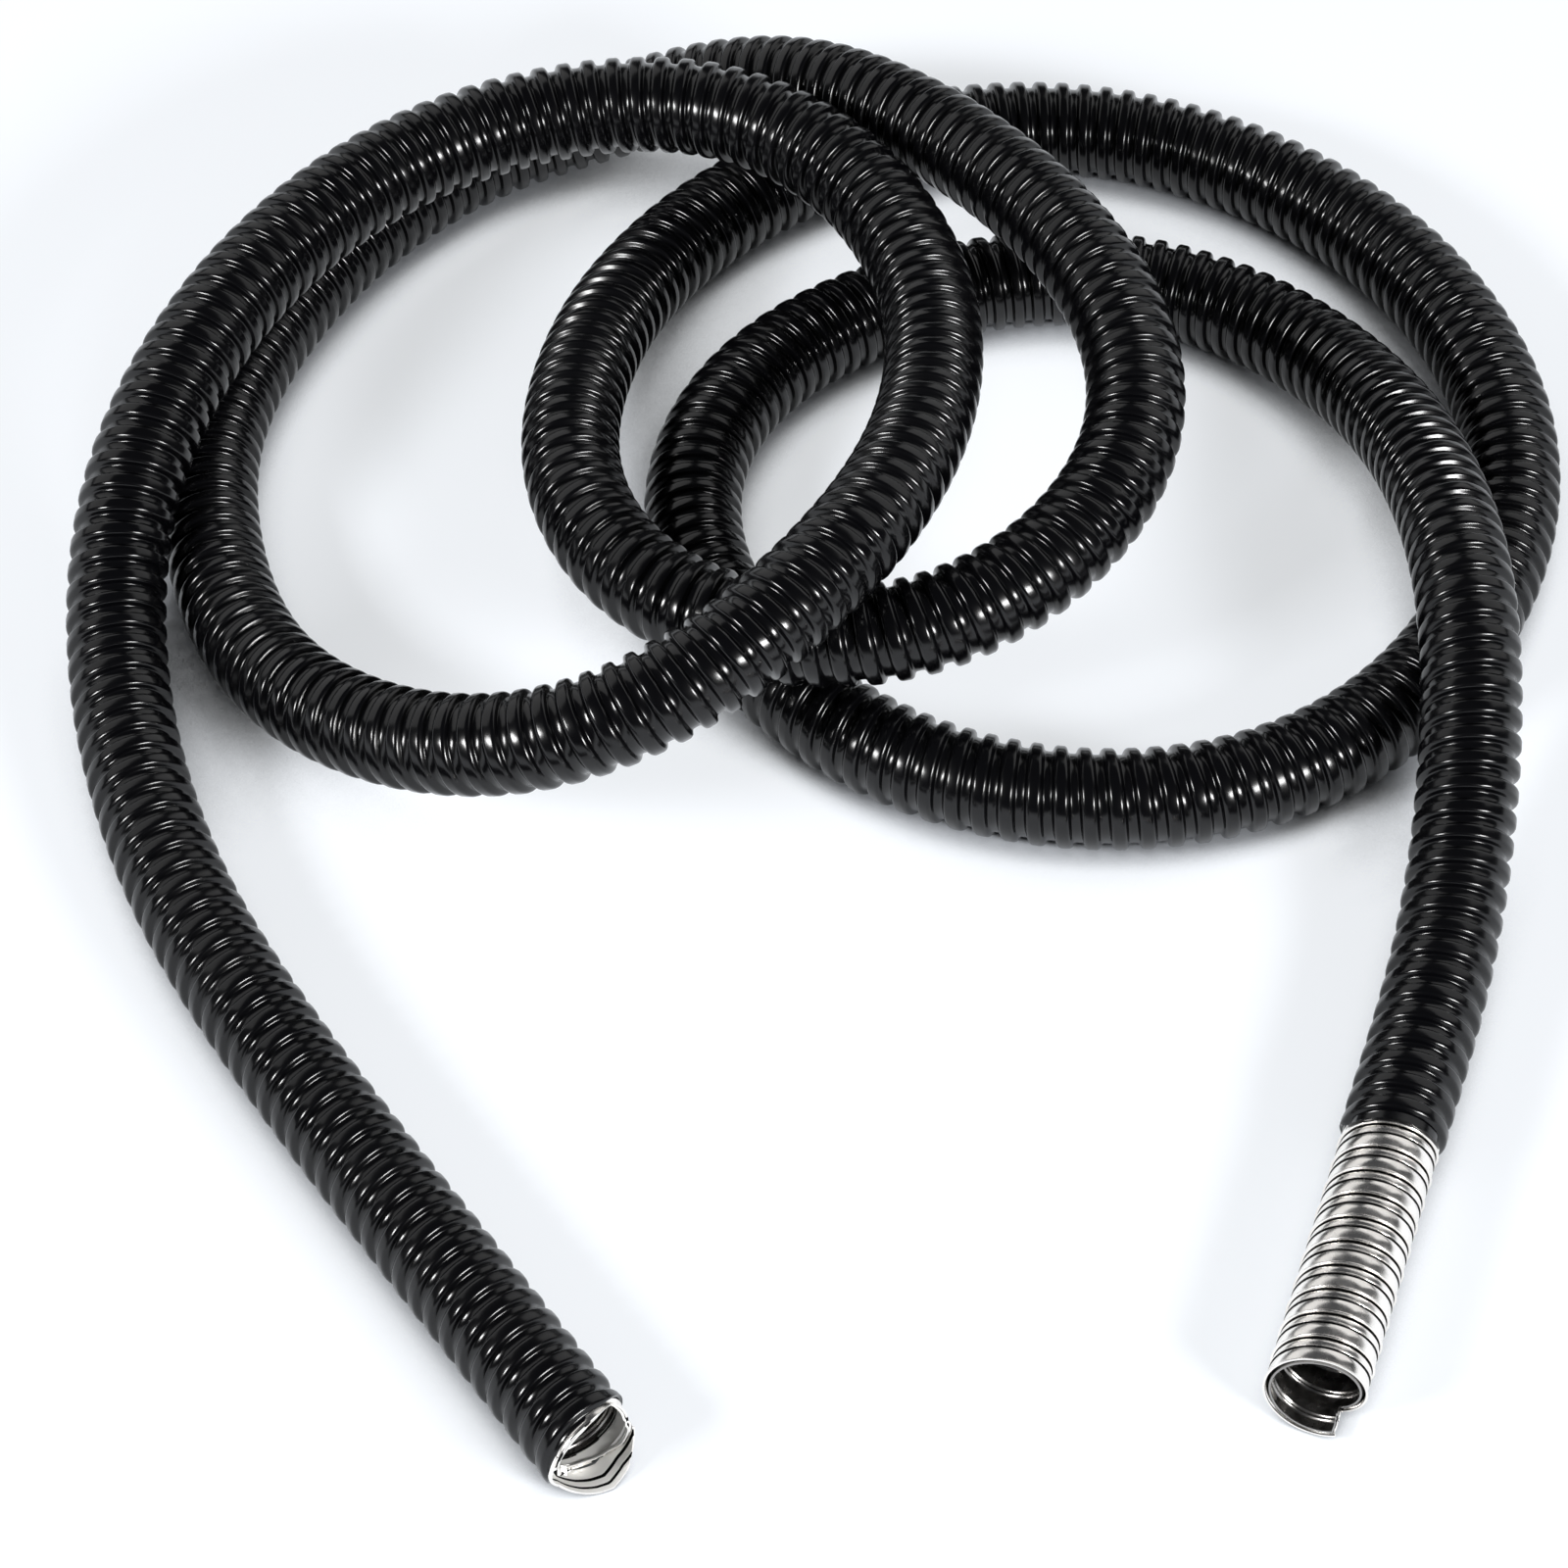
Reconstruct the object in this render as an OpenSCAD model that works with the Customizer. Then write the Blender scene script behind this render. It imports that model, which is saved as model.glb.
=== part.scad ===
// Flexible steel conduit with a ribbed plastic jacket, lying in a loose pile of
// open loops. All sizes are in millimetres. Z is up and the hose lies on z = 0.
// A wound steel strip is the inner tube and a black plastic jacket covers it.
// Both are cut into stretches, so that the two free ends can swing.

/* [Hose] */
// Outer diameter over the ribs of the jacket
hose_od = 25; // [22:0.5:30]
// Depth of the groove between two ribs
rib_depth = 1.25; // [0.8:0.05:1.5]
// Thickness of the plastic jacket
jacket_wall = 0.75; // [0.5:0.05:0.9]
// Thickness of the steel strip tube at its thinnest
strip_wall = 0.45; // [0.3:0.05:0.8]
// Step from one rib to the next at the two cut ends
rib_pitch = 7; // [4.5:0.25:8]
// Number of ribs along the curved stretches
rib_count = 176; // [160:1:200]

/* [Cut ends] */
// Length of bare steel strip at the right end
bare_length = 70; // [50:1:80]
// Tilt of the jacket cut beside the bare steel, in degrees, further on at the left side
cut_tilt = 10; // [0:1:15]
// How far the strip stands out of the jacket at the left end
left_reach = 3; // [1:0.5:6]
// Tilt of the loose last turn at the left end, in degrees, half that at the right
last_turn_tilt = 10; // [4:1:11]
// Width of the loose last turn
last_turn_w = 4.5; // [3:0.25:5]

/* [Hidden] */
// Rendering smoothness of the exact round ends
$fn = 64;
// All lengths of the route grow with the hose, so that the loops still clear
k = hose_od / 25;
// Gap between the jacket and the strip
fit_gap = 0.05;
// Radii of the hose: rib top, groove, strip ridge, strip valley and bore
r_rib = hose_od / 2;
r_groove = r_rib - rib_depth;
r_ridge = r_rib - jacket_wall - fit_gap;
r_valley = r_groove - jacket_wall - fit_gap;
r_bore = r_valley - strip_wall;
// Flats under the hose, as far up as each surface is cut: jacket, liner, strip
flat_jacket = 0;
flat_liner = jacket_wall;
flat_strip = jacket_wall + fit_gap;
flat_bore = jacket_wall + fit_gap + strip_wall;
// Sides of the swept tubes
sides = 8;
// Straight left end, a whole number of ribs long
left_ribs = 4;
left_len = left_ribs * rib_pitch;
// Straight right end: the bare steel, and the jacket's last bit before it
jacket_lead = 14 * k;
right_len = bare_length + jacket_lead;
// Thickness of the loose last turn
last_turn_t = 0.5;

// Point that the guide points are counted from
home = [10.13, 20.66, 0];
// Guide points of the route, from the left end to the right end. The hose
// follows the smooth cubic curve that they steer. Height 10 is on the floor.
guide = [
  // left end and left tail
  [-18, -232, 12.5], [-44, -194, 12.5], [-70, -156, 12.5], [-96, -118, 12.5],
  [-119, -83, 10], [-142, -44, 10], [-158, -2, 10], [-167, 41, 16],
  // first turn, over all the others
  [-166, 80, 32], [-152, 120, 41], [-131, 160, 41], [-100, 193, 42],
  [-58, 210, 44], [-16, 205, 50], [18, 180, 50], [37, 140, 50],
  [39, 95, 56], [28, 51, 64], [6, 14, 67], [-25, -11, 57],
  [-63, -17, 43], [-101, 1, 28], [-131, 34, 16],
  // second turn
  [-145, 75, 10], [-149, 117, 10], [-137, 156, 10], [-118, 189, 10],
  [-101, 208, 10], [-80, 227, 10], [-42, 241, 15], [8, 231, 41],
  [62, 169, 55], [87, 122, 55], [90, 80, 52], [70, 43, 48],
  [34, 21, 42], [-9, 25, 37], [-43, 52, 33], [-57, 92, 31],
  [-51, 138, 24], [-38, 178, 10],
  // third turn, on the floor
  [-13, 208, 10], [29, 232, 10], [77, 238, 10], [124, 222, 10],
  [161, 190, 10], [183, 149, 10], [189, 106, 10], [178, 62, 10],
  [154, 24, 10], [118, -1, 10], [73, -8, 10], [28, 5, 10],
  [-6, 36, 10], [-25, 76, 10], [-23, 119, 10], [3, 155, 10],
  // last half turn, over the third turn at the right
  [46, 176, 10], [92, 179, 10], [131, 159, 10], [156, 121, 20],
  [165, 75, 35], [168, 32, 41], [166, -10, 26],
  // right tail and right end
  [158, -54, 12.5], [145, -96, 12.5], [132, -138, 12.5], [119, -180, 12.5],
  [106, -222, 12.5]
];
spans = len(guide) - 3;

// Places along the route, in spans: where each stretch starts and ends
u_left = left_len / (k * norm(guide[2] - guide[1]));
u_right = spans - right_len / (k * norm(guide[spans] - guide[spans - 1]));
u_tail = rib_at(8);
u_bend = rib_at(14);
u_turn_1 = rib_at(64);
u_turn_2 = rib_at(113);
u_turn_3 = rib_at(146);
u_swing = rib_count - 5;

// Rib number that lies nearest to a share of the ribs counted out of 176
function rib_at(n) = round(n * rib_count / 176);

// One point of the route, u spans from its start
function blend(a, b, c, d, t) =
  ((1 - t) * (1 - t) * (1 - t) * a
  + (3 * t * t * t - 6 * t * t + 4) * b
  + (3 * t * t - 3 * t * t * t + 3 * t + 1) * c
  + t * t * t * d) / 6;
function slope(a, b, c, d, t) =
  (-(1 - t) * (1 - t) * a
  + (3 * t * t - 4 * t) * b
  + (2 * t - 3 * t * t + 1) * c
  + t * t * d) / 2;
function span_of(u) = min(max(floor(u), 0), spans - 1);
function spot(u) =
  let(i = span_of(u))
  k * (blend(guide[i], guide[i + 1], guide[i + 2], guide[i + 3], u - i) - home);
function heading(u) =
  let(
    i = span_of(u),
    d = slope(guide[i], guide[i + 1], guide[i + 2], guide[i + 3], u - i)
  )
  d / norm(d);
function sideways(h) = [h.y, -h.x, 0] / norm([h.y, -h.x, 0]);

// One ring round the route, never lower than the flat
function ring(u, r, flat) =
  let(p = spot(u), h = heading(u), s = sideways(h), v = cross(s, h))
  [for (j = [0 : sides - 1])
    let(
      a = 360 * (j + 0.5) / sides,
      q = p + r * (cos(a) * s + sin(a) * v)
    )
    [q.x, q.y, max(q.z, flat)]];

// Place of rib n along the route, in spans
function rib_u(n) = u_left + (u_right - u_left) * n / rib_count;

// Closed skin between two stacks of rings that start and end together
function wall_faces(n_out, n_in) =
  let(m = n_out * sides)
  concat(
    [for (i = [0 : n_out - 2], j = [0 : sides - 1]) each
      let(
        a = i * sides + j,
        b = i * sides + (j + 1) % sides,
        c = a + sides,
        d = b + sides
      )
      [[a, b, d], [a, d, c]]],
    [for (i = [0 : n_in - 2], j = [0 : sides - 1]) each
      let(
        a = m + i * sides + j,
        b = m + i * sides + (j + 1) % sides,
        c = a + sides,
        d = b + sides
      )
      [[a, d, b], [a, c, d]]],
    [for (j = [0 : sides - 1]) each
      let(a = j, b = (j + 1) % sides, c = m + j, d = m + (j + 1) % sides)
      [[a, d, b], [a, c, d]]],
    [for (j = [0 : sides - 1]) each
      let(
        a = (n_out - 1) * sides + j,
        b = (n_out - 1) * sides + (j + 1) % sides,
        c = m + (n_in - 1) * sides + j,
        d = m + (n_in - 1) * sides + (j + 1) % sides
      )
      [[a, b, d], [a, d, c]]]
  );

// Stretch of the jacket from rib a to rib b, with its ribs and its bore
module jacket_stretch(a, b) {
  outside = [for (n = [a : b]) each concat(
    ring(rib_u(n), r_groove, flat_jacket),
    n < b ? ring(rib_u(n + 0.5), r_rib, flat_jacket) : []
  )];
  inside = [for (n = [a : b]) each ring(rib_u(n), r_valley + fit_gap, flat_liner)];
  color([0.07, 0.07, 0.08])
    polyhedron(
      points = concat(outside, inside),
      faces = wall_faces(2 * (b - a) + 1, b - a + 1),
      convexity = 12
    );
}

// Stretch of the steel strip tube from rib a to rib b
module strip_stretch(a, b) {
  outside = [for (n = [a : b]) each ring(rib_u(n), r_valley, flat_strip)];
  inside = [for (n = [a : b]) each ring(rib_u(n), r_bore, flat_bore)];
  color([0.75, 0.76, 0.78])
    polyhedron(
      points = concat(outside, inside),
      faces = wall_faces(b - a + 1, b - a + 1),
      convexity = 12
    );
}

// Ribbed outline from z0 upwards, n ribs long, closed at the height z1
function ribs(n, z0, z1, low, high) = concat(
  [for (i = [0 : n - 1]) each [
    [low, z0 + i * rib_pitch],
    [low, z0 + (i + 0.38) * rib_pitch],
    [high, z0 + (i + 0.46) * rib_pitch],
    [high, z0 + (i + 0.92) * rib_pitch]
  ]],
  [[low, z0 + n * rib_pitch], [low, z1]]
);

// Frames of the two cut ends: local Z points out of the hose
module at_left_end() {
  h = -heading(0);
  translate(spot(0))
    rotate([0, 90, atan2(h.y, h.x)])
      children();
}
module at_right_end() {
  h = heading(spans);
  translate(spot(spans))
    rotate([0, 90, atan2(h.y, h.x)])
      children();
}

// Reach of the slanted jacket cut to either side of its middle, with some room
slant_room = hose_od * tan(cut_tilt) + 0.6;
// Ribs of the bare steel, clear of the slanted jacket cut
right_ribs = floor((bare_length - slant_room) / rib_pitch);
bare_from = -right_ribs * rib_pitch;
// Ribs of the last bit of the jacket, some of which the cut takes off
lead_ribs = ceil((jacket_lead + slant_room) / rib_pitch);
lead_end = lead_ribs * rib_pitch - right_len;

// Cut end of the jacket at the left
module jacket_left_end() {
  color([0.07, 0.07, 0.08])
    at_left_end()
      rotate_extrude()
        polygon(concat(
          ribs(left_ribs, -left_len, 0.01, r_groove, r_rib),
          reverse_points(ribs(left_ribs, -left_len, 0.01, r_valley + fit_gap, r_ridge + fit_gap))
        ));
}
function reverse_points(list) = [for (i = [len(list) - 1 : -1 : 0]) list[i]];

// Cut end of the strip at the left, which stands out a little
module strip_left_end() {
  color([0.75, 0.76, 0.78])
    at_left_end()
      rotate_extrude()
        polygon(concat(
          [[r_bore, left_reach], [r_bore, -left_len]],
          ribs(left_ribs, -left_len, 0.3, r_valley, r_ridge),
          [[r_ridge, 0.6], [r_ridge, left_reach]]
        ));
}

// Last bit of the jacket before the bare steel, cut at a slant
module jacket_right_end() {
  color([0.07, 0.07, 0.08])
    at_right_end()
      difference() {
        rotate_extrude()
          polygon(concat(
            ribs(lead_ribs, -right_len, lead_end + fit_gap, r_groove, r_rib),
            [[r_valley + fit_gap, lead_end + fit_gap], [r_valley + fit_gap, -right_len]]
          ));
        translate([0, 0, -bare_length])
          rotate([-cut_tilt, 0, 0])
            translate([-hose_od, -hose_od, 0])
              cube([2 * hose_od, 2 * hose_od, 2 * hose_od]);
      }
}

// Bare wound strip at the right end
module strip_right_end() {
  color([0.75, 0.76, 0.78])
    at_right_end()
      rotate_extrude()
        polygon(concat(
          [[r_bore, 0], [r_bore, -right_len], [r_valley, -right_len]],
          ribs(right_ribs, bare_from, 0, r_valley, r_ridge)
        ));
}

// Last turn of the strip, sprung loose from the cut end, hinged at its start
module last_turn(r, reach, turn_from, turn_by, tilt) {
  translate([0, 0, reach])
    rotate([0, 0, turn_from])
      translate([r, 0, 0])
        rotate([0, tilt, 0])
          translate([-r, 0, 0])
            rotate_extrude(angle = turn_by)
              translate([r - last_turn_t, 0])
                square([last_turn_t, last_turn_w]);
}
module strip_left_tip() {
  color([0.75, 0.76, 0.78])
    at_left_end()
      last_turn(r_ridge, left_reach, 265, 200, last_turn_tilt);
}
module strip_right_tip() {
  color([0.75, 0.76, 0.78])
    at_right_end()
      last_turn(r_ridge - last_turn_t, 0, 190, 210, last_turn_tilt / 2);
}

module jacket_left_tail() jacket_stretch(0, u_tail);
module jacket_left_bend() jacket_stretch(u_tail, u_bend);
module jacket_turn_1() jacket_stretch(u_bend, u_turn_1);
module jacket_turn_2() jacket_stretch(u_turn_1, u_turn_2);
module jacket_turn_3() jacket_stretch(u_turn_2, u_turn_3);
module jacket_turn_4() jacket_stretch(u_turn_3, u_swing);
module jacket_right_bend() jacket_stretch(u_swing, rib_count);
module strip_left_tail() strip_stretch(0, u_tail);
module strip_left_bend() strip_stretch(u_tail, u_bend);
module strip_turn_1() strip_stretch(u_bend, u_turn_1);
module strip_turn_2() strip_stretch(u_turn_1, u_turn_2);
module strip_turn_3() strip_stretch(u_turn_2, u_turn_3);
module strip_turn_4() strip_stretch(u_turn_3, u_swing);
module strip_right_bend() strip_stretch(u_swing, rib_count);

// Least gap between two places of the hose that lie two or more spans apart
steps = 8;
trail = [for (i = [0 : spans * steps]) spot(i / steps)];
gaps = [for (i = [0 : len(trail) - 1])
  min(concat([9999], [for (j = [i + 2 * steps : 1 : len(trail) - 1]) norm(trail[i] - trail[j])]))];
echo(least_gap_mm = min(gaps) - hose_od);
lengths = [for (i = [1 : len(trail) - 1]) norm(trail[i] - trail[i - 1])];
function total(list, n) = n < 0 ? 0 : list[n] + total(list, n - 1);
echo(route_length_mm = total(lengths, len(lengths) - 1));

jacket_left_end();
strip_left_end();
strip_left_tip();
jacket_left_tail();
strip_left_tail();
jacket_left_bend();
strip_left_bend();
jacket_turn_1();
strip_turn_1();
jacket_turn_2();
strip_turn_2();
jacket_turn_3();
strip_turn_3();
jacket_turn_4();
strip_turn_4();
jacket_right_bend();
strip_right_bend();
jacket_right_end();
strip_right_end();
strip_right_tip();
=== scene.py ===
"""Looks of the ribbed hose: black jacket, wound steel strip, floor, light and camera."""

import math

import bmesh
import bpy
import numpy as np
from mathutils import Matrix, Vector


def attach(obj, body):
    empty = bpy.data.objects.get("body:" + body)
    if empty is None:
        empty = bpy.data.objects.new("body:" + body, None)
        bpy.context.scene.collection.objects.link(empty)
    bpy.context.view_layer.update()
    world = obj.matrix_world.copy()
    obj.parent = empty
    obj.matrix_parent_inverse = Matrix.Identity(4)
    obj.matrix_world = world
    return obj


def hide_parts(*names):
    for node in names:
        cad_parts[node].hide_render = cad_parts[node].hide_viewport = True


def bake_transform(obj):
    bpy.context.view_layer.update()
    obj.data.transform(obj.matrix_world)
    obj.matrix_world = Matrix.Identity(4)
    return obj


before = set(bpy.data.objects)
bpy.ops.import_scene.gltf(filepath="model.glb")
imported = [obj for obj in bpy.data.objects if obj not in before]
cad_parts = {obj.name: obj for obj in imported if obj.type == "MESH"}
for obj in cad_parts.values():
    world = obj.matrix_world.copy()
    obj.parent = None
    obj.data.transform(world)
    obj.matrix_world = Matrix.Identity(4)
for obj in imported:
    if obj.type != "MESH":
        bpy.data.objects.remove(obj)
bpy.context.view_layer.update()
MM = 0.001

# ---------------------------------------------------------------- route
# The guide points of part.scad in metres. Height 0.010 is on the floor there,
# where the faceted tube is cut flat; the round hose lies at its own radius.
HOME = (0.01013, 0.02066, 0.0)
GUIDE = [
    (-0.018, -0.232, 0.0125), (-0.044, -0.194, 0.0125), (-0.070, -0.156, 0.0125),
    (-0.096, -0.118, 0.0125), (-0.119, -0.083, 0.010), (-0.142, -0.044, 0.010),
    (-0.158, -0.002, 0.010), (-0.167, 0.041, 0.016),
    (-0.166, 0.080, 0.032), (-0.152, 0.120, 0.041), (-0.131, 0.160, 0.041),
    (-0.100, 0.193, 0.042), (-0.058, 0.210, 0.044), (-0.016, 0.205, 0.050),
    (0.018, 0.180, 0.050), (0.037, 0.140, 0.050), (0.039, 0.095, 0.056),
    (0.028, 0.051, 0.064), (0.006, 0.014, 0.067), (-0.025, -0.011, 0.057),
    (-0.063, -0.017, 0.043), (-0.101, 0.001, 0.028), (-0.131, 0.034, 0.016),
    (-0.145, 0.075, 0.010), (-0.149, 0.117, 0.010), (-0.137, 0.156, 0.010),
    (-0.118, 0.189, 0.010), (-0.101, 0.208, 0.010), (-0.080, 0.227, 0.010),
    (-0.042, 0.241, 0.015), (0.008, 0.231, 0.041), (0.062, 0.169, 0.055),
    (0.087, 0.122, 0.055), (0.090, 0.080, 0.052), (0.070, 0.043, 0.048),
    (0.034, 0.021, 0.042), (-0.009, 0.025, 0.037), (-0.043, 0.052, 0.033),
    (-0.057, 0.092, 0.031), (-0.051, 0.138, 0.024), (-0.038, 0.178, 0.010),
    (-0.013, 0.208, 0.010), (0.029, 0.232, 0.010), (0.077, 0.238, 0.010),
    (0.124, 0.222, 0.010), (0.161, 0.190, 0.010), (0.183, 0.149, 0.010),
    (0.189, 0.106, 0.010), (0.178, 0.062, 0.010), (0.154, 0.024, 0.010),
    (0.118, -0.001, 0.010), (0.073, -0.008, 0.010), (0.028, 0.005, 0.010),
    (-0.006, 0.036, 0.010), (-0.025, 0.076, 0.010), (-0.023, 0.119, 0.010),
    (0.003, 0.155, 0.010), (0.046, 0.176, 0.010), (0.092, 0.179, 0.010),
    (0.131, 0.159, 0.010), (0.156, 0.121, 0.020), (0.165, 0.075, 0.035),
    (0.168, 0.032, 0.041), (0.166, -0.010, 0.026),
    (0.158, -0.054, 0.0125), (0.145, -0.096, 0.0125), (0.132, -0.138, 0.0125),
    (0.119, -0.180, 0.0125), (0.106, -0.222, 0.0125),
]
HOSE_D = 0.025
HOSE_R = HOSE_D / 2
STEPS = 60


def spline(points):
    """Uniform cubic curve that the guide points steer, STEPS points to a span."""
    t = np.arange(STEPS)[:, None] / STEPS
    weights = [(1 - t) ** 3, 3 * t**3 - 6 * t**2 + 4, 3 * t**2 - 3 * t**3 + 3 * t + 1, t**3]
    spans = [
        sum(weights[k] * points[i + k] for k in range(4)) / 6
        for i in range(len(points) - 3)
    ]
    end = (points[-3] + 4 * points[-2] + points[-1]) / 6
    return np.vstack(spans + [end[None]])


guide = np.array(GUIDE) - np.array(HOME)
guide[:, 2] = np.maximum(guide[:, 2], HOSE_R)
line = spline(guide)
run = np.r_[0, np.cumsum(np.linalg.norm(np.diff(line, axis=0), axis=1))]
TOTAL = run[-1]


def unit(v):
    return v / np.linalg.norm(v, axis=-1, keepdims=True)


HEAD = unit(line[0] - line[1])
TAIL = unit(line[-1] - line[-2])


def along(s):
    """Points of the centre line at distances s, going straight on past both ends."""
    s = np.asarray(s, float)
    p = np.stack([np.interp(s, run, line[:, k]) for k in range(3)], axis=-1)
    return p - np.minimum(s, 0)[..., None] * HEAD + np.maximum(s - TOTAL, 0)[..., None] * TAIL


def axes(s):
    """Down and sideways directions at distances s, a right-handed pair about the line."""
    half = 1.5 * MM
    t = unit(along(s + half) - along(s - half))
    side = unit(np.cross(t, (0.0, 0.0, 1.0)))
    up = np.cross(side, t)
    return -up, np.cross(t, -up)


# ---------------------------------------------------------------- camera
FOCAL_PX = 6000.0
PHOTO_PX = 1600
SENSOR_MM = 36
SLANT = math.radians(49)
VIEW_DISTANCE = 1.4354
CLIP_END = 20
look = Vector((0, math.cos(SLANT), -math.sin(SLANT)))
target = Vector((0, 0, HOSE_R)) - Vector(HOME)
cam_data = bpy.data.cameras.new("camera")
cam_data.sensor_width = SENSOR_MM
cam_data.sensor_fit = "HORIZONTAL"
cam_data.lens = SENSOR_MM * FOCAL_PX / PHOTO_PX
cam_data.clip_end = CLIP_END
cam = bpy.data.objects.new("camera", cam_data)
bpy.context.scene.collection.objects.link(cam)
cam.location = target - look * VIEW_DISTANCE
cam.rotation_euler = look.to_track_quat("-Z", "Y").to_euler()
bpy.context.scene.camera = cam

# ---------------------------------------------------------------- winding
# Pitch of the strip and the ribs in mm, at distances in mm from the left end: the tails
# are stretched, the loops are not
PITCH_AT = [0, 150, 300, 450, 600, 800, 1000, 1200, 1350, 1500, 1650, 1800, 1950,
            2150, 2370, 2520, 2650, 2790, 2900]
PITCH = [6.7, 6.7, 6.5, 6.0, 6.3, 6.35, 6.2, 5.9, 6.2, 6.3, 6.4, 5.6, 5.8,
         6.3, 6.0, 5.5, 6.2, 7.0, 7.0]
BEYOND = 0.03
FINE_STEPS = 12000
fine = np.linspace(-BEYOND, TOTAL + BEYOND, FINE_STEPS)
local = np.interp(fine, np.array(PITCH_AT) * MM, np.array(PITCH) * MM)
turn_count = np.r_[0, np.cumsum((1 / local[1:] + 1 / local[:-1]) / 2 * np.diff(fine))]


def turns(s):
    """Number of turns that the winding has made at distances s."""
    return np.interp(s, fine, turn_count)


def place(n):
    """Distance along the line at which the winding has made n turns."""
    return np.interp(n, turn_count, fine)


# One pitch of each surface: share of the pitch, radius in mm
JACKET = [
    (0.033, 12.33), (0.078, 12.46), (0.126, 12.50), (0.240, 12.50), (0.354, 12.50),
    (0.402, 12.46), (0.447, 12.33), (0.486, 12.12), (0.512, 11.86), (0.552, 11.22),
    (0.580, 10.96), (0.620, 10.83), (0.740, 10.80), (0.860, 10.83), (0.900, 10.96),
    (0.928, 11.22), (0.968, 11.86), (0.994, 12.12),
]
STRIP = [
    (0.000, 11.62), (0.018, 11.71), (0.050, 11.72), (0.070, 11.62), (0.080, 11.20),
    (0.086, 10.45), (0.136, 10.45), (0.142, 10.95), (0.165, 11.08), (0.220, 11.19),
    (0.290, 11.20), (0.370, 11.10), (0.395, 11.30), (0.415, 11.43), (0.440, 11.45),
    (0.462, 11.36), (0.470, 10.80), (0.502, 10.80), (0.512, 11.12), (0.600, 11.28),
    (0.720, 11.33), (0.840, 11.22), (0.930, 11.06), (0.965, 11.25),
]
BORE = [
    (0.00, 10.35), (0.04, 10.32), (0.20, 10.45), (0.34, 10.45), (0.37, 10.12), (0.40, 10.02),
    (0.43, 10.12), (0.46, 10.32), (0.50, 10.34), (0.53, 10.15), (0.56, 10.06), (0.59, 10.18),
    (0.62, 10.45), (0.86, 10.45),
]
SEAM_ANGLE = 80

# Looks of a piece's faces, by the number of their material slot
# The steel, painted shade for the bore and for the grooves, and painted light with a rougher
# finish at the mouth
OUTSIDE, INSIDE_SHADE, GAP_SHADE, ROUGH_AND_LIT = range(4)

# Faces whose diagonals span less than this, in square metres, are left out, and verts
# closer than this, in metres, are merged
LEAST_AREA = 1e-11
MERGE_DISTANCE = 2e-6


class Sheet:
    """Tube wall whose rows follow the winding, from row a to row b of its profile.

    A row runs once round the hose, from the seam angle to the seam angle, and gets
    on by one pitch. Its last column joins the first column of the row a pitch on.
    """

    def __init__(self, profile, shift, seam, cols, inward=False, shade_rows=()):
        self.share = np.array([p[0] for p in profile])
        self.radius = np.array([p[1] for p in profile]) * MM
        self.shift = shift
        self.cols = cols
        self.round = np.arange(cols) / cols
        self.seam = seam / 360
        self.inward = inward
        self.shade_rows = shade_rows

    def row(self, s, k):
        """Number of the row with profile point k that starts nearest to s."""
        return round(float(turns(s) - self.shift - self.share[k])) * len(self.share) + k

    def turn(self, number):
        """Turn count at which the rows of these numbers start."""
        n = len(self.share)
        return number // n + self.share[number % n] + self.shift

    def height(self, s, angle):
        """Radius of the wall at distances s and angles, in turns."""
        share = turns(s) - self.shift - (angle - self.seam) % 1.0
        radius = np.append(self.radius, self.radius[0])
        return np.interp(share % 1.0, np.append(self.share, 1), radius)

    def grid(self, a, b, cut=(None, None), most=None, join=False):
        """Verts, quads and their looks, from row a to row b.

        cut ends the rows at distances, and most(s, angle) caps the radius. join closes
        the last pitch along the seam, up to where a next sheet starts. The look is the
        darker steel of painted shade in the bore, near-black painted shade on the groove
        rows given to the sheet, and the outside steel elsewhere.
        """
        n = len(self.share)
        rows = b + 1 - a
        number = np.arange(a, b + 1 + (n if join else 0))
        s = place(self.turn(number)[:, None] + self.round[None])
        angle = np.broadcast_to((self.seam + self.round)[None], s.shape)
        r = np.repeat(self.radius[number % n][:, None], self.cols, axis=1)
        for end, edge in enumerate(cut):
            if edge is None:
                continue
            edge = np.broadcast_to(edge, s.shape)
            past = s < edge if end == 0 else s > edge
            s = np.where(past, edge, s)
            r = np.where(past, self.height(edge, angle), r)
        if most is not None:
            r = np.minimum(r, most(s, angle))
        down, side = axes(s)
        c, d = (f(2 * np.pi * angle)[..., None] for f in (np.cos, np.sin))
        verts = (along(s) + r[..., None] * (down * c + side * d)).reshape(-1, 3)
        idx = np.arange(verts.shape[0]).reshape(len(number), self.cols)
        full = idx[:rows]
        quads = np.stack([full[:-1, :-1], full[:-1, 1:], full[1:, 1:], full[1:, :-1]], -1)
        k = np.arange(len(number) - 1 - n)
        seam = [idx[k, -1], idx[k + n, 0], idx[k + n + 1, 0], idx[k + 1, -1]]
        if self.inward:
            look = np.full(rows - 1, INSIDE_SHADE)
        else:
            look = np.where(np.isin(number[:rows - 1] % n, self.shade_rows), GAP_SHADE, OUTSIDE)
        look = np.concatenate([np.repeat(look, self.cols - 1), look[k]])
        quads = np.vstack([quads.reshape(-1, 4), np.stack(seam, -1)])
        p = verts[quads]
        area = np.linalg.norm(np.cross(p[:, 2] - p[:, 0], p[:, 3] - p[:, 1]), axis=1)
        quads, look = quads[area > LEAST_AREA], look[area > LEAST_AREA]
        return verts, quads[:, ::-1] if self.inward else quads, look


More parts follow.
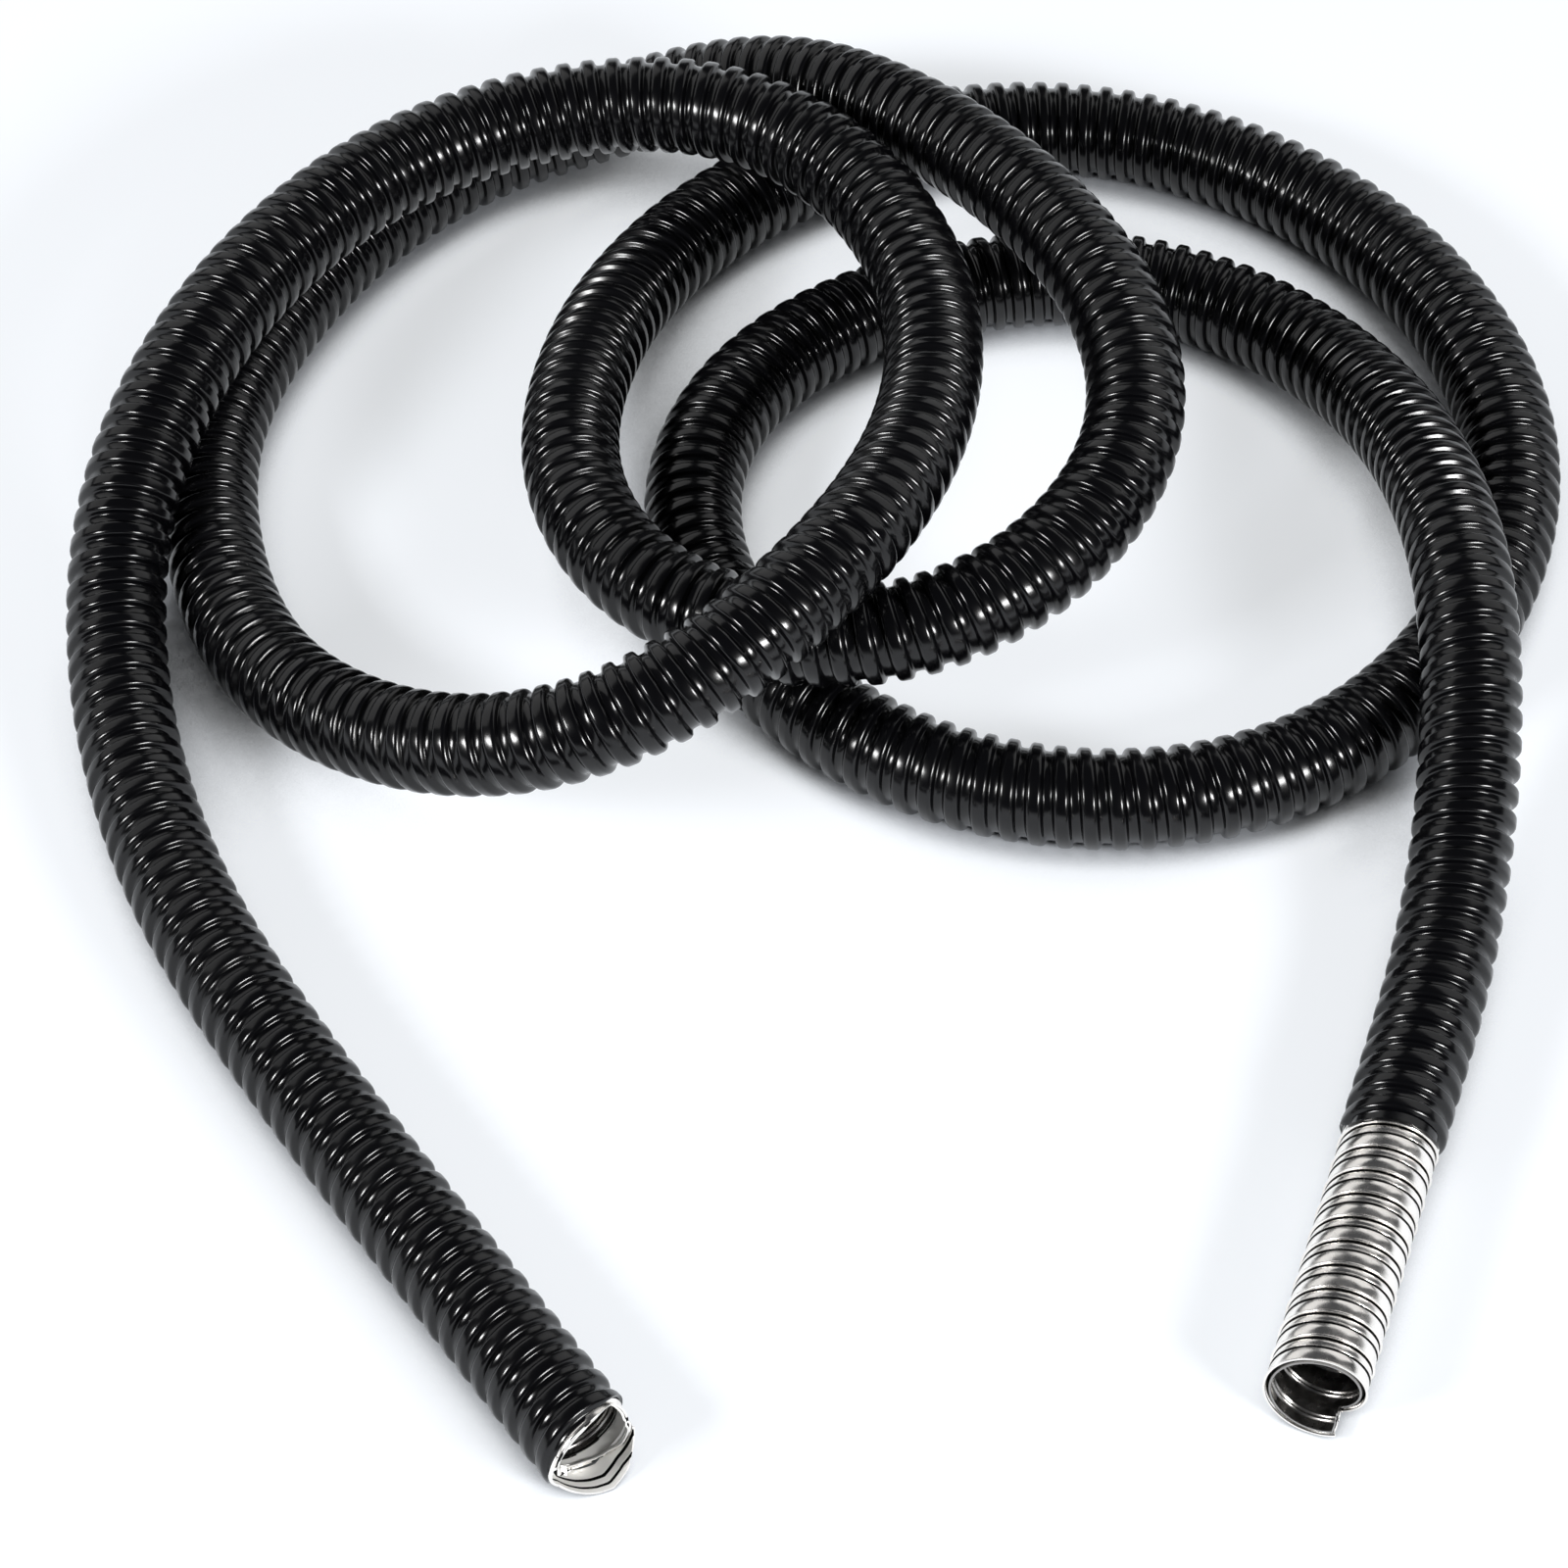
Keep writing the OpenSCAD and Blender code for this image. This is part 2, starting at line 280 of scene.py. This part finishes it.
def mesh_object(name, parts):
    """One smooth mesh object from grids of (verts, quads, looks), with doubles merged."""
    verts = np.vstack([p[0] for p in parts])
    start = np.cumsum([0] + [len(p[0]) for p in parts[:-1]])
    quads = np.vstack([p[1] + k for p, k in zip(parts, start)])
    look = np.concatenate([p[2] for p in parts])
    mesh = bpy.data.meshes.new(name)
    mesh.vertices.add(len(verts))
    mesh.vertices.foreach_set("co", verts.ravel())
    mesh.loops.add(quads.size)
    mesh.loops.foreach_set("vertex_index", quads.ravel())
    mesh.polygons.add(len(quads))
    mesh.polygons.foreach_set("loop_start", np.arange(len(quads)) * 4)
    mesh.polygons.foreach_set("loop_total", np.full(len(quads), 4))
    mesh.polygons.foreach_set("material_index", look.astype(np.int32))
    mesh.update(calc_edges=True)
    mesh.validate()
    bm = bmesh.new()
    bm.from_mesh(mesh)
    bmesh.ops.remove_doubles(bm, verts=bm.verts, dist=MERGE_DISTANCE)
    bmesh.ops.delete(bm, geom=[v for v in bm.verts if not v.link_faces], context="VERTS")
    bm.to_mesh(mesh)
    bm.free()
    mesh.polygons.foreach_set("use_smooth", np.ones(len(mesh.polygons), bool))
    obj = bpy.data.objects.new(name, mesh)
    bpy.context.scene.collection.objects.link(obj)
    return obj


RIM_REACH = 9 * MM
# How far into the bore from the mouth the painted light of the paler, rougher steel reaches
LIT_MOUTH_DEPTH = 0.0045


def thicken_edge(obj, point, outward, wall, depth, least=0.0):
    """Turns the open edge at a mouth inwards by wall and back into the hose by depth.

    The edge lies within RIM_REACH of point along outward. It gets no closer than
    least to the axis.
    """
    point, outward = Vector(point), Vector(outward)
    bm = bmesh.new()
    bm.from_mesh(obj.data)
    rim = [
        e for e in bm.edges
        if e.is_boundary and all(abs((v.co - point).dot(outward)) < RIM_REACH for v in e.verts)
    ]
    for inwards in (True, False):
        made = bmesh.ops.extrude_edge_only(bm, edges=rim)["geom"]
        for v in (g for g in made if isinstance(g, bmesh.types.BMVert)):
            if inwards:
                centre = point + outward * (v.co - point).dot(outward)
                way = v.co - centre
                r = min(max(way.length - wall, least), way.length)
                v.co = centre + way.normalized() * r
            else:
                v.co -= outward * depth
        rim = [g for g in made if isinstance(g, bmesh.types.BMEdge)]
    for f in bm.faces:
        f.smooth = True
    bm.to_mesh(obj.data)
    bm.free()


def lit_rough_mouth(obj, point, outward):
    """Gives the bore's faces near the mouth a paler, half-matt steel: painted light where the
    mouth is lit, with a rougher finish.
    """
    point, outward = Vector(point), Vector(outward)
    for f in obj.data.polygons:
        if f.material_index == INSIDE_SHADE and (f.center - point).dot(outward) > -LIT_MOUTH_DEPTH:
            f.material_index = ROUGH_AND_LIT


# ---------------------------------------------------------------- the hose
LEFT_END, RIGHT_END = line[0], line[-1]
# Edges are tables of the angle in degrees, 0 down and 180 up, and the reach there in
# mm, which is counted outwards from the route's end. They run once round, seen from
# inside the hose: 90 is on the right of the photograph at both ends.
JACKET_LEFT_EDGE = [
    (84, -4.5), (112, -3.5), (136, -1.7), (164, 0.3), (192, 2.0), (224, 2.6),
    (264, 3.1), (290, 1.6), (320, -0.8), (360, -2.6), (444, -4.5),
]
JACKET_RIGHT_EDGE = [
    (84, -75.5), (100, -73.0), (120, -71.3), (148, -71.0), (172, -70.5), (188, -70.0),
    (208, -69.3), (228, -69.3), (244, -70.5), (260, -73.5), (280, -75.0), (444, -75.5),
]
STRIP_LEFT_EDGE = [
    (36, 0.2), (56, 1.5), (84, 1.7), (105, 0.3), (128, -1.5), (148, 0.0), (164, 1.3),
    (192, 2.9), (224, 3.5), (262, 3.6), (280, 0.0), (324, -2.6), (360, -1.5), (396, 0.2),
]
# Where a rib's crest ends near the right end, and the profile points of a crest's end
# and of a groove's middle
JACKET_PHASE_REACH = -76.9 * MM
CREST_END = 5
DEEP = 12
JACKET_COLS = 40
# Distances of the cuts between the three jacket pieces, each in a groove
SEAM_LEFT = 0.300
SEAM_RIGHT = 2.640
# The jacket's right edge: where its last row starts, where its middle is and how much
# strip is bare there, all from the route's end
JACKET_LAST = 0.064
JACKET_MOUTH = 0.072
# Rows are made this far past the left end, before the edge tables cut them
SPARE = 12 * MM
JACKET_RIM = {"wall": 0.8 * MM, "depth": 3 * MM, "least": 10.9 * MM}
STRIP_RIM = {"wall": 0.5 * MM, "depth": 0.3 * MM}


def edge_reach(table, angle):
    """Reach in metres at angles in turns; the left end counts them the other way round."""
    first = table[0][0]
    return np.interp((360 * angle - first) % 360 + first, *zip(*table)) * MM


jacket_shift = float(turns(TOTAL + JACKET_PHASE_REACH) - JACKET[CREST_END][0]) % 1.0
skin = Sheet(JACKET, jacket_shift, SEAM_ANGLE, JACKET_COLS)
row_left = skin.row(SEAM_LEFT, DEEP)
row_right = skin.row(SEAM_RIGHT, DEEP)
around = skin.seam + skin.round
jacket_left = mesh_object("jacket_left", [
    skin.grid(skin.row(-SPARE, DEEP), row_left, join=True,
              cut=(-edge_reach(JACKET_LEFT_EDGE, -around), None))])
jacket_coil = mesh_object("jacket_coil", [skin.grid(row_left, row_right, join=True)])
jacket_right = mesh_object("jacket_right", [
    skin.grid(row_right, skin.row(TOTAL - JACKET_LAST, DEEP),
              cut=(None, TOTAL + edge_reach(JACKET_RIGHT_EDGE, around)))])
thicken_edge(jacket_left, LEFT_END, HEAD, **JACKET_RIM)
thicken_edge(jacket_right, RIGHT_END - JACKET_MOUTH * TAIL, TAIL, **JACKET_RIM)

# The strip stays this far inside the jacket, from this far behind its edge on
JACKET_GAP = 0.3 * MM
TUCK = 0.5 * MM


def under_jacket(s, angle):
    """Largest radius that the strip may have at distances s and angles, in turns."""
    covered = s > -edge_reach(JACKET_LEFT_EDGE, -angle) + TUCK
    covered &= s < TOTAL + edge_reach(JACKET_RIGHT_EDGE, angle) - TUCK
    return np.where(covered, skin.height(s, angle) - JACKET_GAP, HOSE_R)


# The strip is in full detail where it can be seen, in the open and in the bore, and a
# plain tube where only the jacket is round it. BORE_DETAIL, OUTER_LEFT and OUTER_RIGHT
# are the lengths of detail from the ends, and both kinds overlap
TIP_RIGHT_ANGLE = 38
MOUTH_RIGHT_REACH = -2.8 * MM
STRIP_COLS = 72
HIDDEN_COLS = 24
# Profile rows of the strip's deep grooves, which get near-black painted shade
STRIP_SHADE_ROWS = (4, 5, 6, 15, 16, 17)
RIM, LIP = 2, 1
BORE_DETAIL = 0.095
OUTER_LEFT = 0.012
OUTER_RIGHT = 0.084
OVERLAP = 2 * MM
PLAIN_OUTER = [(k / 3, 10.50) for k in range(3)]
PLAIN_BORE = [(k / 3, 10.10) for k in range(3)]
strip_shift = float(turns(TOTAL + MOUTH_RIGHT_REACH) - STRIP[RIM][0]) % 1.0


def plain(profile, a, b, inward=False):
    """Rows of the strip between distances a and b, at one radius."""
    sheet = Sheet(profile, strip_shift, TIP_RIGHT_ANGLE, HIDDEN_COLS, inward=inward)
    return sheet.grid(sheet.row(a, 0), sheet.row(b, 0), join=True)


# At the right end the bare strip follows the winding to its own cut end
outer = Sheet(STRIP, strip_shift, TIP_RIGHT_ANGLE, STRIP_COLS, shade_rows=STRIP_SHADE_ROWS)
inner = Sheet(BORE, strip_shift, TIP_RIGHT_ANGLE, STRIP_COLS, inward=True)
strip_right = mesh_object("strip_right", [
    outer.grid(outer.row(TOTAL - OUTER_RIGHT, RIM),
               outer.row(TOTAL + MOUTH_RIGHT_REACH, RIM), most=under_jacket),
    inner.grid(inner.row(TOTAL - BORE_DETAIL, LIP),
               inner.row(TOTAL + MOUTH_RIGHT_REACH, LIP)),
    plain(PLAIN_OUTER, SEAM_RIGHT, TOTAL - OUTER_RIGHT + OVERLAP),
    plain(PLAIN_BORE, SEAM_RIGHT, TOTAL - BORE_DETAIL + OVERLAP, inward=True),
])
thicken_edge(strip_right, RIGHT_END, TAIL, **STRIP_RIM)

strip_coil = mesh_object("strip_coil", [
    plain(PLAIN_OUTER, SEAM_LEFT, SEAM_RIGHT),
    plain(PLAIN_BORE, SEAM_LEFT, SEAM_RIGHT, inward=True),
])

# At the left end the strip is narrower, by LEFT_NARROWER mm, and its last turn has
# sprung out
LEFT_SHIFT = 0.35
LEFT_NARROWER = 0.25
left_profile = [(share, r - LEFT_NARROWER) for share, r in STRIP]
outer = Sheet(left_profile, LEFT_SHIFT, SEAM_ANGLE, STRIP_COLS, shade_rows=STRIP_SHADE_ROWS)
inner = Sheet(BORE, LEFT_SHIFT, SEAM_ANGLE, STRIP_COLS, inward=True)
rim = (-edge_reach(STRIP_LEFT_EDGE, -outer.seam - outer.round), None)
strip_left = mesh_object("strip_left", [
    outer.grid(outer.row(-SPARE, RIM), outer.row(OUTER_LEFT, RIM), rim, under_jacket),
    inner.grid(inner.row(-SPARE, LIP), inner.row(BORE_DETAIL, LIP), rim),
    plain(PLAIN_OUTER, OUTER_LEFT - OVERLAP, SEAM_LEFT),
    plain(PLAIN_BORE, BORE_DETAIL - OVERLAP, SEAM_LEFT, inward=True),
])
thicken_edge(strip_left, LEFT_END, HEAD, **STRIP_RIM)
# The bore near the left mouth gets painted light, a paler half-matt steel with a rougher
# finish
lit_rough_mouth(strip_left, LEFT_END, HEAD)

CUT_SLANT = 74
LEAST_WALL = 0.08 * MM


def last_turn(name, edge, width, radius, start, tips, wall):
    """Ribbon of the strip sprung out of the mouth at the left end.

    edge and radius are tables over the angle in degrees: the reach of the outer edge
    and the radius there, in mm. The ribbon starts at the angle start. tips are the
    angles where its outer and inner edge end, and the cut end slants by CUT_SLANT
    degrees over the width from the outer edge on.
    """
    # Over the width: share of it, rise of the outer side, rise of the inner side, in mm
    across = [
        (0.00, 0.10, 0.00), (0.03, 0.28, 0.00), (0.08, 0.26, 0.00), (0.10, -0.20, -0.02),
        (0.14, -0.20, -0.02), (0.16, 0.00, 0.00), (0.17, 0.00, 0.28), (0.24, -0.05, 0.28),
        (0.25, -0.05, 0.00), (0.41, 0.10, 0.00), (0.46, 0.15, 0.00), (0.47, 0.15, 0.32),
        (0.56, 0.20, 0.32), (0.57, 0.20, 0.00), (0.60, 0.22, 0.00), (0.62, -0.20, -0.02),
        (0.69, -0.20, -0.02), (0.71, -0.02, 0.00), (0.88, 0.00, 0.00), (1.00, 0.10, 0.00),
    ]
    # Rows of the ribbon's grooves, which get near-black painted shade
    outer_shaded_grooves = [2, 3, 4, 14, 15, 16]
    inner_shaded_grooves = [5, 6, 7, 10, 11, 12]
    columns = 60
    down, side = (v[0] for v in axes(np.zeros(1)))
    outside, inside = [], []
    for u, rise_out, rise_in in across:
        angle = np.linspace(start, min(tips[0] + CUT_SLANT * u, tips[1]), columns)
        reach = (np.interp(angle, *zip(*edge)) - u * width) * MM
        r = np.interp(angle, *zip(*radius)) * MM
        a = np.radians(angle)
        ray = np.cos(a)[:, None] * down - np.sin(a)[:, None] * side
        most = under_jacket(-reach, -angle / 360) - JACKET_GAP
        out = np.minimum(r + rise_out * MM, most)
        within = np.minimum(np.minimum(r, most) + (rise_in - wall) * MM, out - LEAST_WALL)
        for side_verts, radial in ((outside, out), (inside, within)):
            side_verts.append(LEFT_END + reach[:, None] * HEAD + radial[:, None] * ray)
    n = len(across)
    top, low = np.arange(2 * n * columns).reshape(2, n, columns)
    loops = [(top[:-1, :-1], top[:-1, 1:], top[1:, 1:], top[1:, :-1]),
             (low[:-1, :-1], low[1:, :-1], low[1:, 1:], low[:-1, 1:])]
    rims = ((top[0], low[0], True), (top[-1], low[-1], False),
            (top[:, 0], low[:, 0], False), (top[:, -1], low[:, -1], True))
    for rim_a, rim_b, flip in rims:
        quad = (rim_a[:-1], rim_a[1:], rim_b[1:], rim_b[:-1])
        loops.append(quad[::-1] if flip else quad)
    quads = np.vstack([np.stack(q, -1).reshape(-1, 4) for q in loops])
    look = np.full(len(quads), OUTSIDE)
    # The faces come as the outer side, the inner side and the rims, row by row
    faces = (n - 1) * (columns - 1)
    outer_look, inner_look = look[:2 * faces].reshape(2, n - 1, columns - 1)
    outer_look[outer_shaded_grooves] = GAP_SHADE
    # The inner side gets painted light, a paler half-matt steel with a rougher finish
    inner_look[:] = ROUGH_AND_LIT
    inner_look[inner_shaded_grooves] = GAP_SHADE
    return mesh_object(name, [(np.array(outside + inside).reshape(-1, 3), quads, look)])


strip_left_turn = last_turn(
    "strip_left_turn",
    edge=[(240, 3.3), (262, 3.4), (290, 2.4), (312, 2.0), (324, 3.4), (340, 5.0),
          (356, 6.2), (372, 7.0), (396, 5.8), (440, 5.8)],
    width=7.6,
    radius=[(240, 10.9), (262, 11.3), (300, 11.6), (360, 11.9), (440, 12.0)],
    start=240, tips=(396, 440), wall=0.45,
)
JACKETS = (jacket_left, jacket_coil, jacket_right)
STRIPS = (strip_left, strip_coil, strip_right, strip_left_turn)
SHARP_ANGLE = math.radians(50)
for o in JACKETS + STRIPS:
    o.data.set_sharp_from_angle(angle=SHARP_ANGLE)


# ---------------------------------------------------------------- materials
def noise(tree, coords, scale, detail):
    """Value of a noise texture over the object's coordinates."""
    node = tree.nodes.new("ShaderNodeTexNoise")
    node.inputs["Scale"].default_value = scale
    node.inputs["Detail"].default_value = detail
    tree.links.new(coords, node.inputs["Vector"])
    return node.outputs["Fac"]


NOISE_MIDDLE = (0.3, 0.7)


def spread(tree, value, low, high):
    """The middle of a noise value stretched over low to high."""
    node = tree.nodes.new("ShaderNodeMapRange")
    keys = ("From Min", "From Max", "To Min", "To Max")
    for key, number in zip(keys, (*NOISE_MIDDLE, low, high)):
        node.inputs[key].default_value = number
    tree.links.new(value, node.inputs["Value"])
    return node.outputs["Result"]


def bump(tree, shader, value, strength, distance):
    """Lets a value raise the surface by up to the distance."""
    node = tree.nodes.new("ShaderNodeBump")
    node.inputs["Strength"].default_value = strength
    node.inputs["Distance"].default_value = distance
    tree.links.new(value, node.inputs["Height"])
    tree.links.new(node.outputs["Normal"], shader.inputs["Normal"])


def hose_material(name, color, rough, spots, grain, relief, **sockets):
    """Material of one colour with spots of other roughness and a fine grain.

    rough is the least and most roughness, spots and grain the scale and detail of two
    noises, relief the strength and distance of the grain's bump, and sockets are
    constants of the shader, with _ for a space.
    """
    mat = bpy.data.materials.new(name)
    mat.use_nodes = True
    tree = mat.node_tree
    shader = tree.nodes["Principled BSDF"]
    shader.inputs["Base Color"].default_value = (*color, 1)
    for key, value in sockets.items():
        shader.inputs[key.replace("_", " ")].default_value = value
    coords = tree.nodes.new("ShaderNodeTexCoord").outputs["Object"]
    roughness = spread(tree, noise(tree, coords, *spots), *rough)
    tree.links.new(roughness, shader.inputs["Roughness"])
    bump(tree, shader, noise(tree, coords, *grain), *relief)
    return mat


def strip_material(name, color, rough, metal=1.0):
    """Galvanised strip: smooth metal with rougher spots and a faint grain."""
    return hose_material(name, color, rough, spots=(260, 5), grain=(900, 3),
                         relief=(0.25, 0.03 * MM), Metallic=metal)


pvc = hose_material("pvc", (0.0015, 0.0015, 0.002), rough=(0.15, 0.23), spots=(60, 4),
                    grain=(260, 2), relief=(0.15, 0.08 * MM), Specular_IOR_Level=0.40)
steel = strip_material("steel", (0.97, 0.94, 0.90), (0.18, 0.32))
# Darker copy of the steel for the bore: painted shade inside the hose
bore = strip_material("steel_inside_shade", (0.32, 0.31, 0.30), (0.16, 0.34))
# Near-black steel for the grooves: painted shade
gap_shade = strip_material("steel_gap_shade", (0.012, 0.012, 0.012), (0.45, 0.65))
# Paler, half-matt copy of the steel at the left mouth and the sprung turn: painted light, with
# a rougher finish
rough_and_lit = strip_material("steel_rough_and_lit", (0.90, 0.89, 0.86), (0.40, 0.55), metal=0.45)

# In order: the steel, the bore with painted shade, the grooves with painted shade, and the
# mouth with painted light and a rougher finish
LOOKS = (steel, bore, gap_shade, rough_and_lit)
for pieces, mats, slot in ((JACKETS, (pvc,), "jacket"), (STRIPS, LOOKS, "steel")):
    for o in pieces:
        for mat in mats:
            o.data.materials.append(mat)

# ---------------------------------------------------------------- bodies and nodes
TURNS = (1, 2, 3, 4)
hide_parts("jacket_left_end", "jacket_left_tail", "jacket_left_bend")
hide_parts(*[f"jacket_turn_{k}" for k in TURNS])
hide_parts("jacket_right_bend", "jacket_right_end")
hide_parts("strip_left_end", "strip_left_tail", "strip_left_bend")
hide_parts(*[f"strip_turn_{k}" for k in TURNS])
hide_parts("strip_right_bend", "strip_right_end", "strip_right_tip")
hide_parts("strip_left_tip")
for o in (jacket_coil, strip_coil):
    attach(o, "coil")
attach(strip_left_turn, "left_end")
# The pieces at both ends get their placing baked into their meshes
for o in (jacket_left, strip_left):
    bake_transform(o)
for o in (jacket_right, strip_right):
    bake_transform(o)


# ---------------------------------------------------------------- floor and light
FLOOR_COLOR = (0.34, 0.355, 0.38, 1)
FLOOR_GLOW = 0.68
FAR_GLOW = 0.27
GLOW_COLOR = (0.95, 0.975, 1.0, 1)
# Distances from the pile between which FAR_GLOW is added
FAR_RANGE = (1.2, 2.2)
# How far up things shade the glow, and the open shares between which it comes up
SHADE_DISTANCE = 0.03
SHADE_RANGE = (0.28, 0.62)
WORLD_COLOR = (0.88, 0.92, 1.0, 1)
WORLD_LIGHT = 0.05
LAMP_DISTANCE = 2.0


def math_node(tree, operation, a, b):
    """Result of a math node on two sockets or numbers."""
    node = tree.nodes.new("ShaderNodeMath")
    node.operation = operation
    for k, value in enumerate((a, b)):
        if isinstance(value, (int, float)):
            node.inputs[k].default_value = value
        else:
            tree.links.new(value, node.inputs[k])
    return node.outputs[0]


def ramp(tree, value, low, high):
    """0 where the value is under low, 1 over high, and a smooth rise between them."""
    node = tree.nodes.new("ShaderNodeMapRange")
    node.interpolation_type = "SMOOTHSTEP"
    node.inputs["From Min"].default_value = low
    node.inputs["From Max"].default_value = high
    tree.links.new(value, node.inputs["Value"])
    return node.outputs["Result"]


def floor_material():
    """Pale matt floor that also glows where it is the background of what is seen.

    The glow is less where things stand close over the floor, and more far out, where
    the lamps don't reach.
    """
    mat = bpy.data.materials.new("floor")
    mat.use_nodes = True
    tree = mat.node_tree
    tree.nodes.clear()
    out = tree.nodes.new("ShaderNodeOutputMaterial")
    both = tree.nodes.new("ShaderNodeAddShader")
    matt = tree.nodes.new("ShaderNodeBsdfDiffuse")
    glow = tree.nodes.new("ShaderNodeEmission")
    path = tree.nodes.new("ShaderNodeLightPath").outputs
    seen = math_node(tree, "ADD", path["Is Camera Ray"], path["Is Glossy Ray"])
    seen = math_node(tree, "ADD", seen, path["Is Transmission Ray"])
    seen = math_node(tree, "MINIMUM", seen, 1)
    matt.inputs["Color"].default_value = FLOOR_COLOR
    shade = tree.nodes.new("ShaderNodeAmbientOcclusion")
    shade.samples = 8
    shade.inputs["Distance"].default_value = SHADE_DISTANCE
    glow.inputs["Color"].default_value = GLOW_COLOR
    coords = tree.nodes.new("ShaderNodeTexCoord")
    distance = tree.nodes.new("ShaderNodeVectorMath")
    distance.operation = "LENGTH"
    tree.links.new(coords.outputs["Object"], distance.inputs[0])
    far = ramp(tree, distance.outputs["Value"], *FAR_RANGE)
    lit = math_node(tree, "MAXIMUM", ramp(tree, shade.outputs["AO"], *SHADE_RANGE), far)
    seen = math_node(tree, "MULTIPLY", seen, lit)
    level = math_node(tree, "ADD", math_node(tree, "MULTIPLY", far, FAR_GLOW), FLOOR_GLOW)
    tree.links.new(math_node(tree, "MULTIPLY", seen, level), glow.inputs["Strength"])
    tree.links.new(matt.outputs[0], both.inputs[0])
    tree.links.new(glow.outputs[0], both.inputs[1])
    tree.links.new(both.outputs[0], out.inputs["Surface"])
    return mat


# The floor and low walls far out, so that low views have the same pale background
FLOOR_HALF = 6.0
WALL_HEIGHT = 0.6
CORNERS = [(-1, -1), (1, -1), (1, 1), (-1, 1)]
floor_mesh = bpy.data.meshes.new("floor")
verts = [(x * FLOOR_HALF, y * FLOOR_HALF, z) for z in (0, WALL_HEIGHT) for x, y in CORNERS]
walls = [(k, k + 4, (k + 1) % 4 + 4, (k + 1) % 4) for k in range(4)]
floor_mesh.from_pydata(verts, [], [(0, 1, 2, 3), *walls])
floor_mesh.materials.append(floor_material())
floor = bpy.data.objects.new("floor", floor_mesh)
bpy.context.scene.collection.objects.link(floor)

# A dim room
world = bpy.data.worlds.new("world")
bpy.context.scene.world = world
world.use_nodes = True
sky = world.node_tree.nodes["Background"]
sky.inputs["Color"].default_value = WORLD_COLOR
sky.inputs["Strength"].default_value = WORLD_LIGHT


def softbox(name, azimuth, elevation, size, power):
    """Area light LAMP_DISTANCE from the pile and turned to it; azimuth 270 is the front."""
    data = bpy.data.lights.new(name, "AREA")
    data.shape = "RECTANGLE"
    data.size, data.size_y = size
    data.energy = power
    obj = bpy.data.objects.new(name, data)
    bpy.context.scene.collection.objects.link(obj)
    az, el = math.radians(azimuth), math.radians(elevation)
    way = Vector((math.cos(el) * math.cos(az), math.cos(el) * math.sin(az), math.sin(el)))
    obj.location = way * LAMP_DISTANCE
    obj.rotation_euler = (-way).to_track_quat("-Z", "Y").to_euler()
    obj.visible_camera = False


softbox("right_box", 315, 29, (0.64, 0.36), 39)
softbox("left_box", 211, 34, (0.58, 0.36), 35)
# Two large dim panels behind, which the steel mirrors
softbox("left_panel", 134, 33, (2.2, 1.4), 7.5)
softbox("right_panel", 44, 33, (2.0, 1.4), 7.0)

bpy.context.scene.view_settings.view_transform = "Standard"
